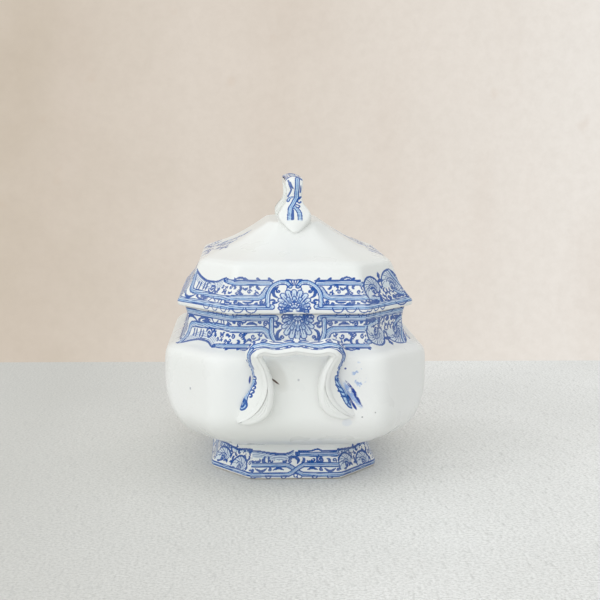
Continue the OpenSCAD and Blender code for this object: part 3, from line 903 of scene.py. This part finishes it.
def make_foot(plates):
    """The foot: a flared printed ring, open beneath."""
    columns = Columns([113, 56, 76, 56], [0.66, 0.58, 0.54, 0.58])
    fine, coarse = columns.every(1), columns.every(4)
    outside = smooth(foot_side(), 10)
    rows, marks = resample(outside, [0, 2], [(None, 0.56)])
    skin = Skin(columns)
    skin.add(rows, marks - 2.4, fine, zone=1)
    back = inset(smooth(foot_side()[1:], 4), FOOT_WALL)[::-1]
    back_rows, back_marks = resample(back, [0, 2], [(None, 3.0)])
    skin.add(back_rows, back_marks, coarse, zone=2)
    base = [0.0, FOOT_HIGH[0] - FOOT_WALL + 1.4, FOOT_HIGH[1] - FOOT_WALL + 1.4, 34.4, 4]
    skin.add(np.array([base]), [0], coarse, zone=2)
    skin.hoop()
    points, across, along, panel, zone = skin.arrays()
    ink, wash = print_on(across, along, panel, zone, plates)
    return to_object("tureen_foot", points, skin.faces, ink, wash)


def make_lid(plates, spray):
    """The lid: its printed side, the roof with its sprays, and a plain inside."""
    columns = Columns([167, 72, 112, 72], [0.72, 0.62, 0.56, 0.62])
    fine, medium, coarse = columns.every(1), columns.every(4, 2), columns.every(4)
    outside = np.vstack([smooth(lid_side(), 12), smooth(lid_roof(), 12)])
    rows, marks = resample(outside, [0, 2], [(LID_PRINT, 0.62), (None, 1.15)])
    inner_w, inner_l = FLANGE_HIGH[0] - FLANGE_WALL, FLANGE_HIGH[1] - FLANGE_WALL
    inner_end = collar_end - CHAMFER_INSET * (FLANGE_GAP + FLANGE_WALL)
    z = LID_LOW[2]
    roof_in = inset(smooth(lid_roof()[:-1], 4), LID_WALL, -LID_WALL * 0.9)[::-1]
    side_in = inset(lid_side()[6:-1], LID_WALL, -0.5)[::-1]
    mouth = [[z + 5, inner_w, inner_l, inner_end, 4],
             [z + 1, inner_w, inner_l, inner_end, 4],
             [z, inner_w + 0.6, inner_l + 0.6, inner_end + 0.3, 4]]
    inside = np.vstack([roof_in, side_in, mouth])
    inner_rows, inner_marks = resample(inside, [0, 2], [(None, 3.6)])
    skin = Skin(columns)
    skin.add(shrunk(inside[0], [0.1, 0.6, 0.95]), [0] * 3, coarse, zone=3)
    skin.add(inner_rows, inner_marks, coarse, zone=3)
    band = marks <= LID_PRINT
    skin.add(rows[band], marks[band], fine, zone=1)
    skin.add(rows[~band], marks[~band], medium, zone=2)
    skin.add(shrunk([LID_HIGH[2], 20.4, 54.4, 13.9, 3], [1, 0.6, 0.1]), [0] * 3, coarse, zone=3)
    skin.close()
    points, across, along, panel, zone = skin.arrays()
    front_shift, stretch, below_rim, spray_gap = 3.0, 1.05, 0.4, 4
    shifted = across + np.where(panel == FRONT_PANEL, front_shift, 0.0)
    ink, wash = print_on(shifted, stretch * along - below_rim, panel, zone, plates)
    slope = (zone == 2) & (panel % 4 == LONG_SIDE)
    ink[slope], wash[slope] = spray.read(across[slope], along[slope] - LID_PRINT - spray_gap)
    return to_object("tureen_lid", points, skin.faces, ink, wash)


def make_flange():
    """The plain ring under the lid that drops inside the bowl's rim."""
    columns = Columns([140, 56, 100, 56], [2.4, 2.4, 2.4, 2.4])
    low, top = FLANGE_LOW[2], FLANGE_HIGH[2]
    wide, long, end = FLANGE_HIGH[0], FLANGE_HIGH[1], collar_end - CHAMFER_INSET * FLANGE_GAP
    outline = [[top, wide, long, end, 5],
               [low + 2, wide, long, end, 5],
               [low + 0.9, wide - 0.25, long - 0.25, end - 0.1, 5],
               [low + 0.2, wide - 0.9, long - 0.9, end - 0.4, 5],
               [low, wide - 1.8, long - 1.8, end - 0.8, 5],
               [low + 0.2, wide - 2.9, long - 2.9, end - 1.4, 4],
               [low + 1.1, wide - 3.8, long - 3.8, end - 1.9, 4],
               [low + 2.4, wide - FLANGE_WALL, long - FLANGE_WALL, end - 2.0, 4],
               [top, wide - FLANGE_WALL, long - FLANGE_WALL, end - 2.0, 4]]
    skin = Skin(columns)
    skin.add(np.array(outline)[::-1], [0] * len(outline), columns.every(1), zone=2)
    skin.hoop()
    points = skin.arrays()[0]
    plain = np.zeros(len(points))
    return to_object("lid_locating_flange", points, skin.faces, plain, plain)


# ---- Bracket straps ----
# A station of a loop's path is [across, up, thickness, near, far], as in the design.

def section(thick, near, far, fall, flute, crown):
    """Outline of a strap square to its path, as depth and height, and where it is printed."""
    r = min(thick, far - near) * 0.28
    h = thick / 2
    outline, printed = [], []

    def bend(x, y, start, on_print=False):
        """A rounded corner about (x, y), over a quarter turn from the start angle."""
        for a in np.radians(np.linspace(start, start + 90, 7)):
            outline.append([x + r * math.cos(a), y + r * math.sin(a)])
            printed.append(on_print)

    def side(a, b, count, depth=0.0, rise=0.0, on_print=False):
        """A side from a to b, fluted to a depth or bowed up by a rise."""
        for t in (np.arange(count) + 1) / (count + 1):
            dip = depth * (0.5 - 0.5 * math.cos(6 * math.pi * t)) * math.sin(math.pi * t) ** 0.3
            swell = rise * 4 * t * (1 - t)
            outline.append([a[0] + (b[0] - a[0]) * t - dip, a[1] + (b[1] - a[1]) * t + swell])
            printed.append(on_print)

    bend(near + r, -h + r, 180)
    side([near + r, -h], [far - r, -h], 9)
    bend(far - r, -h + r, 270)
    side([far, -h + r], [far, h - fall - r], 17, flute)
    bend(far - r, h - fall - r - crown, 0, on_print=True)
    side([far - r, h - fall - crown], [near + r, h - crown], 30, rise=crown, on_print=True)
    bend(near + r, h - r - crown, 90, on_print=True)
    side([near, h - r - crown], [near, -h + r], 7)
    return np.array(outline), np.array(printed)


BAR_END, LEG_START = 30, 42        # distances from the bar's middle along a strap
LEG_END, FOOT_START = 80, 94
STRIP_WIDTH = 15                    # width of the handle's printed strip
BAR_COVER, COVER_LOSS = 0.84, 0.24  # share of the bar's width that it covers, and how much less on the legs
PRINT_FADE = 1.5
OFF_PLATE = -99.0                   # a place outside every plate


def make_strap(name, halves, turn, shift, plate, print_end, fall=0.0, flute=0.5, crown=0.6, even=True):
    """A whole loop from its two half paths, with its print read along the outer face.

    With even set, the strip of print is fitted to a share of the strap's width. The turn's
    columns say where the path's own axes (across, depth, up) lie in the frame."""
    first, second = [resample(smooth(half, 16), [0, 1], [(None, 0.55)]) for half in halves]
    loop = np.vstack([first[0], second[0][-2::-1] * [-1, 1, 1, 1, 1]])
    along = np.concatenate([first[1][-1] - first[1], (second[1] - second[1][-1])[-2::-1]])
    ahead = np.gradient(loop[:, :2], axis=0)
    ahead /= np.linalg.norm(ahead, axis=1)[:, None]
    points, xs, vs = [], [], []
    for (across, up, thick, near, far), direction, s in zip(loop, ahead, along):
        past_bar = np.clip((abs(s) - BAR_END) / (LEG_START - BAR_END), 0, 1)
        leg = past_bar * np.clip((FOOT_START - abs(s)) / (FOOT_START - LEG_END), 0, 1)
        outline, printed = section(thick, near, far, fall * thick, flute * leg, crown * min(1, thick / 8))
        out = np.array([direction[1], -direction[0]])
        spot = (across, up) + outline[:, 1:] * out
        points.append(np.stack([spot[:, 0], outline[:, 0], spot[:, 1]], 1))
        xs.append(np.full(len(printed), s))
        depth = outline[:, 0]
        if even:
            depth = (depth - near) / (far - near) * STRIP_WIDTH / (BAR_COVER - COVER_LOSS * past_bar)
        vs.append(np.where(printed, depth, OFF_PLATE))
    faces = []
    count = len(points[0])
    here = np.arange(count)
    after = np.roll(here, -1)
    for start in range(0, count * (len(points) - 1), count):
        quads = np.stack([here, here + count, after + count, after], 1)
        faces.extend((start + quads).tolist())
    faces.append(here.tolist())
    faces.append((count * len(points) - 1 - here).tolist())
    turn = np.array(turn, float)
    if np.linalg.det(turn) < 0:
        faces = [face[::-1] for face in faces]
    x = np.concatenate(xs)
    ink, wash = plate.read(x, np.concatenate(vs))
    keep = np.clip((print_end - np.abs(x)) / PRINT_FADE, 0, 1)
    points = np.concatenate(points) @ turn.T + shift
    return to_object(name, points, faces, ink * keep, wash * keep)


HANDLE_TOP = REAR_HIGH[2] + 0.65
HANDLE_LOW = 65.0
HANDLE_SAG = REAR_LOW[2] - FRONT_LOW[2]     # how much lower the front handle's left foot reaches


def handle_half(low):
    """Path of half a handle, from its leaf foot to the middle of its bar."""
    top, bar, reach = HANDLE_TOP, 41.5, REAR_HIGH[1] - end_y
    span = top - low
    return [[bar + 4.5, low + 1, 4, -1.2, 3],
            [bar - 3, low + 0.09 * span, 17, -1.2, 8],
            [bar - 10.5, low + 0.21 * span, 24, -1.2, 12],
            [bar - 14.5, low + 0.36 * span, 20, -1.2, 15],
            [bar - 15, low + 0.5 * span, 16, 1, 17.5],
            [bar - 13, low + 0.63 * span, 14, 3.5, 19.5],
            [bar - 9.2, low + 0.74 * span, 13.5, 5.5, 21.5],
            [bar - 7.6, top - 13.5, 13.2, 6.8, 22.5],
            [bar - 10.4, top - 8.8, 13.2, 7.6, reach],
            [bar - 16.5, top - 6.8, 13.2, 8, reach],
            [bar - 24, top - 8.2, 12.4, 8, reach],
            [bar * 0.25, top - 7.8, 12, 8, reach],
            [0, top - 6.4, 11.5, 8, reach]]


def finial_half():
    """Path of half the finial, from its leaf foot to the middle of its bar."""
    half, roof, top, x = FINIAL_HIGH[1], LID_HIGH[2], FINIAL_HIGH[2], 7.5
    return [[half, roof - 0.95 * (half - 58) + 1.2, 3, -2.5, 2.5],
            [half - 4, roof - 3.4, 8, -8.5, 8.5],
            [half - 8.5, roof + 2.6, 13, -14, 14],
            [half - 13.5, roof + 8, 12, -12.5, 12.5],
            [half - 18, roof + 14.5, 10, -x - 0.6, x + 0.6],
            [half - 20.5, top - 19, 9, -x + 0.8, x - 0.8],
            [half - 19.5, top - 12, 9, -x + 0.6, x - 0.6],
            [half - 18.5, top - 7.2, 9, -x, x],
            [half - 23, top - 4.6, 8.5, -x, x],
            [half - 30, top - 5.4, 8.5, -x, x],
            [14, top - 4.6, 8.5, -x, x],
            [0, top - 4.2, 8.4, -x, x]]


# ---- Materials ----

def feed(tree, socket, value):
    """Links a socket to another one, or sets it to a plain value."""
    if isinstance(value, bpy.types.NodeSocket):
        tree.links.new(value, socket)
    else:
        socket.default_value = value


def node(tree, kind, **values):
    """A shader node with its settings, and its sockets linked or set."""
    made = tree.nodes.new(kind)
    for key, value in values.items():
        if key in made.inputs:
            feed(tree, made.inputs[key], value)
        else:
            setattr(made, key, value)
    return made


def empty_tree(owner):
    """The shader tree of a material or a world, emptied."""
    owner.use_nodes = True
    owner.node_tree.nodes.clear()
    return owner.node_tree


def mix(tree, factor, first, second):
    """A colour mix of sockets or plain colours."""
    made = node(tree, "ShaderNodeMix", data_type="RGBA")
    for place_in, value in ((0, factor), (6, first), (7, second)):
        feed(tree, made.inputs[place_in], value)
    return made.outputs[2]


def math_node(tree, operation, first, second=0.0):
    """The result of a sum on sockets or plain numbers."""
    made = node(tree, "ShaderNodeMath", operation=operation)
    feed(tree, made.inputs[0], first)
    feed(tree, made.inputs[1], second)
    return made.outputs[0]


def times(tree, first, *others):
    """The product of sockets or plain numbers."""
    for value in others:
        first = math_node(tree, "MULTIPLY", first, value)
    return first


def ranged(tree, value, low, high, to_low=0.0, to_high=1.0):
    """The value carried from one range to another, and held at the ends of the second."""
    made = node(tree, "ShaderNodeMapRange", clamp=True)
    for place_in, number in enumerate((value, low, high, to_low, to_high)):
        feed(tree, made.inputs[place_in], number)
    return made.outputs[0]


def noise(tree, coordinates, scale, detail, roughness=0.5):
    """Cloudy noise between 0 and 1."""
    made = node(tree, "ShaderNodeTexNoise", Vector=coordinates, Scale=scale, Detail=detail,
                Roughness=roughness)
    return made.outputs[0]


def layered(tree, colour, layers):
    """A colour under layers of tint, each as strong as its source carried to a range."""
    for source, low, high, strength_low, strength_high, tint in layers:
        strength = ranged(tree, source, low, high, strength_low, strength_high)
        colour = mix(tree, strength, colour, tint)
    return colour


def streak(tree, coordinates, middle, lean, length, width):
    """Mask of a narrow mark on the front end, lying at an angle to the level in degrees.

    It reaches almost through the wall, so that it shows outside and not inside."""
    moved = node(tree, "ShaderNodeMapping", vector_type="TEXTURE", Vector=coordinates,
                 Location=(middle[0] * MM, -end_y * MM, middle[1] * MM),
                 Rotation=(0, -math.radians(lean), 0),
                 Scale=(length / 2 * MM, 0.96 * BOWL_WALL * MM, width / 2 * MM))
    far = node(tree, "ShaderNodeVectorMath", operation="LENGTH", Vector=moved.outputs[0])
    return ranged(tree, far.outputs["Value"], 0.65, 1.0, 1.0, 0.0)


def making_marks_and_painted_shade(tree, coordinates, colour):
    """The marks of making on the front end: stray print, a glaze crack and a few blue flecks, and painted
    shade: a faint brown darkening inside the front handle, beside its left leg and under its bar.
    """
    broken = ranged(tree, noise(tree, coordinates, 330.0, 3.0, 0.7), 0.34, 0.5)
    flecks = ranged(tree, noise(tree, coordinates, 300.0, 1.0), 0.58, 0.64)
    pale, dark, grey = (0.30, 0.44, 0.74, 1), (0.02, 0.06, 0.32, 1), (0.2, 0.2, 0.22, 1)
    for middle, lean, length, width, strength, pattern, tint in (
            ((42.6, 82.4), -55, 28, 6.0, 0.95, broken, pale),
            ((38.6, 82.0), -55, 26, 2.2, 1.0, broken, dark),
            ((41.6, 88.4), -50, 17, 2.2, 1.0, broken, dark),
            ((45.6, 81.0), -58, 22, 2.6, 1.0, broken, dark),
            ((44.0, 73.6), -58, 9, 2.4, 1.0, None, dark),
            # painted shade: a faint brown darkening inside the front handle, beside its left leg and under
            # its bar
            ((-18.0, 99.0), -60, 34, 16.0, 0.16, None, (0.36, 0.31, 0.24, 1)),
            ((47.6, 98.5), -80, 24, 12.0, 0.8, flecks, pale),
            ((36.8, 103.6), 10, 2.2, 1.8, 0.9, None, dark),
            ((-38.6, 95.0), 84, 7.5, 2.0, 0.95, None, dark),
            ((-37.0, 88.0), 74, 13, 3.0, 0.6, broken, pale),
            ((38.5, 59.6), 10, 10, 9.0, 0.14, None, pale),
            ((-18.7, 93.6), -38, 9.5, 1.7, 0.95, None, (0.08, 0.03, 0.02, 1)),
            ((50.5, 64.5), 0, 1.7, 1.5, 0.7, None, grey),
            ((61.0, 68.0), 0, 1.5, 1.4, 0.6, None, grey)):
        mask = times(tree, streak(tree, coordinates, middle, lean, length, width), strength)
        if pattern:
            mask = times(tree, mask, pattern)
        colour = mix(tree, mask, colour, tint)
    return colour


def glaze(name):
    """White glazed earthenware with blue transfer print under the glaze."""
    material = bpy.data.materials.new(name)
    tree = empty_tree(material)
    coordinates = node(tree, "ShaderNodeTexCoord").outputs["Object"]
    white = layered(tree, (0.855, 0.868, 0.838, 1), (
        (noise(tree, coordinates, 9.0, 3.0), 0.35, 0.65, 0.0, 1.0, (0.885, 0.888, 0.872, 1)),
        (noise(tree, coordinates, 23.0, 4.0), 0.6, 0.86, 0.0, 0.35, (0.80, 0.80, 0.745, 1))))
    cells = node(tree, "ShaderNodeTexVoronoi", feature="DISTANCE_TO_EDGE", Vector=coordinates, Scale=210.0)
    craze = ranged(tree, cells.outputs["Distance"], 0.0, 0.035, 1.0, 0.0)
    crazed = ranged(tree, noise(tree, coordinates, 13.0, 2.0), 0.52, 0.72)
    white = mix(tree, times(tree, craze, crazed, 0.10), white, (0.50, 0.44, 0.33, 1))
    spots = node(tree, "ShaderNodeTexVoronoi", Vector=coordinates, Scale=58.0)
    speck = ranged(tree, spots.outputs["Distance"], 0.045, 0.085, 1.0, 0.0)
    pick = node(tree, "ShaderNodeSeparateColor", Color=spots.outputs["Color"])
    few = ranged(tree, pick.outputs[0], 0.955, 0.96)
    white = mix(tree, times(tree, speck, few, 0.55), white, (0.22, 0.23, 0.30, 1))
    height = node(tree, "ShaderNodeSeparateXYZ", Vector=coordinates).outputs[2]
    from_seam = math_node(tree, "SUBTRACT", height, (BOWL_HIGH[2] + 0.1) * MM)
    white = layered(tree, white, (
        (height, 0.0004, 0.0015, 0.75, 0.0, (0.42, 0.33, 0.21, 1)),
        (math_node(tree, "ABSOLUTE", from_seam), 0.0001, 0.0009, 0.45, 0.0, (0.30, 0.25, 0.17, 1))))
    white = making_marks_and_painted_shade(tree, coordinates, white)
    ink = node(tree, "ShaderNodeAttribute", attribute_name="ink").outputs["Fac"]
    wash = node(tree, "ShaderNodeAttribute", attribute_name="wash").outputs["Fac"]
    grain = noise(tree, coordinates, 900.0, 2.0, 0.7)
    patches = noise(tree, coordinates, 42.0, 3.0)
    strength = ranged(tree, patches, 0.3, 0.6, 0.84, 1.0)
    wash = times(tree, wash, ranged(tree, grain, 0.25, 0.75, 0.45, 0.95), strength)
    ink = times(tree, ranged(tree, ink, 0.22, 0.62), ranged(tree, grain, 0.2, 0.55, 0.82, 1.0), strength)
    ink_colour = mix(tree, patches, (0.0, 0.055, 0.30, 1), (0.0, 0.083, 0.38, 1))
    colour = mix(tree, ink, mix(tree, wash, white, (0.20, 0.465, 0.79, 1)), ink_colour)
    smear = ranged(tree, noise(tree, coordinates, 31.0, 3.0), 0.3, 0.7, 0.24, 0.38)
    ripple = node(tree, "ShaderNodeBump", Strength=0.15, Distance=0.001,
                  Height=noise(tree, coordinates, 24.0, 0.0))
    pits = node(tree, "ShaderNodeBump", Strength=0.05, Distance=0.00005,
                Height=noise(tree, coordinates, 420.0, 0.0), Normal=ripple.outputs[0])
    shader = node(tree, "ShaderNodeBsdfPrincipled", Roughness=smear, Normal=pits.outputs[0],
                  **{"Base Color": colour, "Specular IOR Level": 0.17, "Coat Weight": 0.06,
                     "Coat Roughness": 0.12})
    node(tree, "ShaderNodeOutputMaterial", Surface=shader.outputs[0])
    return material


def floor_material():
    """Pale limewashed plaster, nearly plain, with painted shade that darkens it towards the left."""
    material = bpy.data.materials.new("pale_plaster")
    tree = empty_tree(material)
    coordinates = node(tree, "ShaderNodeTexCoord").outputs["Object"]
    across = node(tree, "ShaderNodeSeparateXYZ", Vector=coordinates).outputs[0]
    brushed = node(tree, "ShaderNodeMapping", Vector=coordinates, Rotation=(0, 0, 0.5),
                   Scale=(1.0, 0.16, 1.0))
    colour = layered(tree, (0.90, 0.90, 0.882, 1), (
        (noise(tree, coordinates, 5.0, 4.0), 0.3, 0.7, 0.0, 1.0, (0.985, 0.985, 0.97, 1)),
        # painted shade: the floor darker towards the left
        (across, -0.25, 0.1, 0.8, 0.0, (0.615, 0.605, 0.57, 1)),
        (noise(tree, coordinates, 420.0, 3.0, 0.65), 0.4, 0.75, 0.0, 0.75, (0.50, 0.50, 0.475, 1)),
        (noise(tree, brushed.outputs[0], 300.0, 3.0, 0.6), 0.56, 0.70, 0.0, 0.4, (0.55, 0.55, 0.53, 1))))
    grit = node(tree, "ShaderNodeBump", Strength=0.5, Distance=0.0014,
                Height=noise(tree, coordinates, 260.0, 5.0, 0.6))
    shader = node(tree, "ShaderNodeBsdfPrincipled", Roughness=0.85, Normal=grit.outputs[0],
                  **{"Base Color": colour})
    node(tree, "ShaderNodeOutputMaterial", Surface=shader.outputs[0])
    return material


# ---- Stage, light and camera ----

def make_floor():
    """A plain floor that ends a little behind the tureen."""
    mesh = bpy.data.meshes.new("floor")
    near, far, wide = -3.0, 0.48, 3.0
    mesh.from_pydata([(-wide, near, 0), (wide, near, 0), (wide, far, 0), (-wide, far, 0)], [], [(0, 1, 2, 3)])
    floor = in_scene("floor", mesh)
    floor.data.materials.append(floor_material())


def make_world():
    """A beige wall in the directions behind the tureen, and a pale room in the others."""
    world = bpy.data.worlds.new("room")
    bpy.context.scene.world = world
    tree = empty_tree(world)
    direction = node(tree, "ShaderNodeTexCoord").outputs["Generated"]
    across, away, up = node(tree, "ShaderNodeSeparateXYZ", Vector=direction).outputs
    hung = node(tree, "ShaderNodeMapping", Vector=direction, Rotation=(0, 0.25, 0), Scale=(1.0, 1.0, 0.25))
    wall = layered(tree, (0.60, 0.52, 0.425, 1), (
        (across, -0.165, -0.04, 0.0, 1.0, (0.708, 0.636, 0.556, 1)),
        (across, 0.03, 0.26, 0.0, 1.0, (0.84, 0.80, 0.748, 1)),
        (noise(tree, hung.outputs[0], 17.0, 2.0), 0.5, 0.72, 0.0, 0.3, (0.66, 0.57, 0.49, 1)),
        (noise(tree, direction, 11.0, 9.0, 0.62), 0.3, 0.7, 0.0, 0.22, (0.87, 0.79, 0.72, 1)),
        (noise(tree, direction, 140.0, 3.0, 0.7), 0.35, 0.7, 0.0, 0.10, (0.45, 0.39, 0.33, 1)),
        (noise(tree, direction, 34.0, 2.0), 0.70, 0.78, 0.0, 0.12, (0.55, 0.38, 0.25, 1))))
    window = ranged(tree, across, -0.6, 0.6, 0.57, 0.23)
    far_left = ranged(tree, across, -0.95, -0.55, 1.25, 1.0)
    toward_lens = ranged(tree, away, -0.95, -0.35, 3.6, 1.0)
    room = node(tree, "ShaderNodeVectorMath", operation="SCALE", Vector=(1.02, 1.05, 1.06),
                Scale=times(tree, window, far_left, toward_lens))
    colour = mix(tree, ranged(tree, away, 0.1, 0.7), room.outputs[0], wall)
    colour = mix(tree, ranged(tree, up, 0.4, 0.8), colour, (0.93, 0.95, 0.95, 1))
    background = node(tree, "ShaderNodeBackground", Color=colour, Strength=1.0)
    node(tree, "ShaderNodeOutputWorld", Surface=background.outputs[0])


def soft_light(name, place_at, target, size, power, tint):
    """A square soft light that faces a target."""
    lamp = bpy.data.lights.new(name, "AREA")
    lamp.size = size
    lamp.energy = power
    lamp.color = tint
    made = in_scene(name, lamp)
    made.location = place_at
    aim = Vector(target) - Vector(place_at)
    made.rotation_euler = aim.to_track_quat("-Z", "Y").to_euler()


CAMERA_AT = (-0.0431, -1.1635, 0.2833)
CAMERA_ANGLES = (2.487, 7.068, 0.239)     # degrees turned right, tipped down and rolled
CAMERA_LENS = 78.0
SENSOR_WIDTH = 36.0


def make_camera():
    """A long lens a little over a metre in front of the tureen, just above its top."""
    yaw, pitch, roll = (math.radians(angle) for angle in CAMERA_ANGLES)
    ahead = Vector((math.sin(yaw) * math.cos(pitch), math.cos(yaw) * math.cos(pitch), -math.sin(pitch)))
    flat_right = Vector((math.cos(yaw), -math.sin(yaw), 0))
    flat_up = flat_right.cross(ahead)
    right = flat_right * math.cos(roll) + flat_up * math.sin(roll)
    up = right.cross(ahead)
    data = bpy.data.cameras.new("camera")
    data.lens = CAMERA_LENS
    data.sensor_width = SENSOR_WIDTH
    data.dof.use_dof = False
    camera = in_scene("camera", data)
    turn = Matrix((right, up, -ahead)).transposed().to_4x4()
    camera.matrix_world = Matrix.Translation(CAMERA_AT) @ turn
    bpy.context.scene.camera = camera


bpy.context.scene.view_settings.view_transform = "Standard"
make_camera()
make_floor()
make_world()
soft_light("window", (-1.3, -0.9, 1.2), (0, 0, 0.12), 1.2, 4.0, (0.97, 0.99, 1.0))


# ---- The tureen ----

ends, sides = end_plate(), side_plate()
arches, swoosh = arch_plate(), swoosh_plate()
border = [sides, swoosh, ends, arches, sides, swoosh, ends, arches]
foot_ends, foot_sides, foot_corners = foot_plate(42, 7), foot_plate(60, 8), foot_corner_plate()
foot_border = [foot_sides, foot_corners, foot_ends, foot_corners] * 2

white = glaze("glazed_earthenware")

bowl = make_bowl(border)
foot = make_foot(foot_border)
lid = make_lid(border, spray_plate())
flange = make_flange()
strip = handle_plate()
front_x = (FRONT_LOW[0] + FRONT_HIGH[0]) / 2
whole, saggy = handle_half(HANDLE_LOW), handle_half(HANDLE_LOW - HANDLE_SAG)
facing_front = [[1, 0, 0], [0, -1, 0], [0, 0, 1]]
facing_rear = [[1, 0, 0], [0, 1, 0], [0, 0, 1]]
lengthwise = [[0, -1, 0], [1, 0, 0], [0, 0, 1]]
handle_front = make_strap("handle_front_bracket", [whole, saggy], facing_front, (front_x, -end_y, 0),
                          strip, 96, fall=0.45)
handle_rear = make_strap("handle_rear_bracket", [whole, whole], facing_rear, (0, end_y, 0),
                         strip, 96, fall=0.45)
finial = make_strap("finial_bracket", [finial_half()] * 2, lengthwise, (0, 0, 0),
                    finial_plate(), 89, flute=0.3, crown=1.1, even=False)

for piece, body, cad, finish in ((bowl, "tureen", "bowl", "glazed_white"),
                                 (foot, "tureen", "foot", "printed_blue"),
                                 (handle_front, "tureen", "handle_front", "printed_blue"),
                                 (handle_rear, "tureen", "handle_rear", "printed_blue"),
                                 (lid, "cover", "lid", "glazed_white"),
                                 (flange, "cover", "lid_flange", "glazed_white"),
                                 (finial, "cover", "finial", "printed_blue")):
    piece.data.materials.append(white)
    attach(piece, body)
    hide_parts(cad)
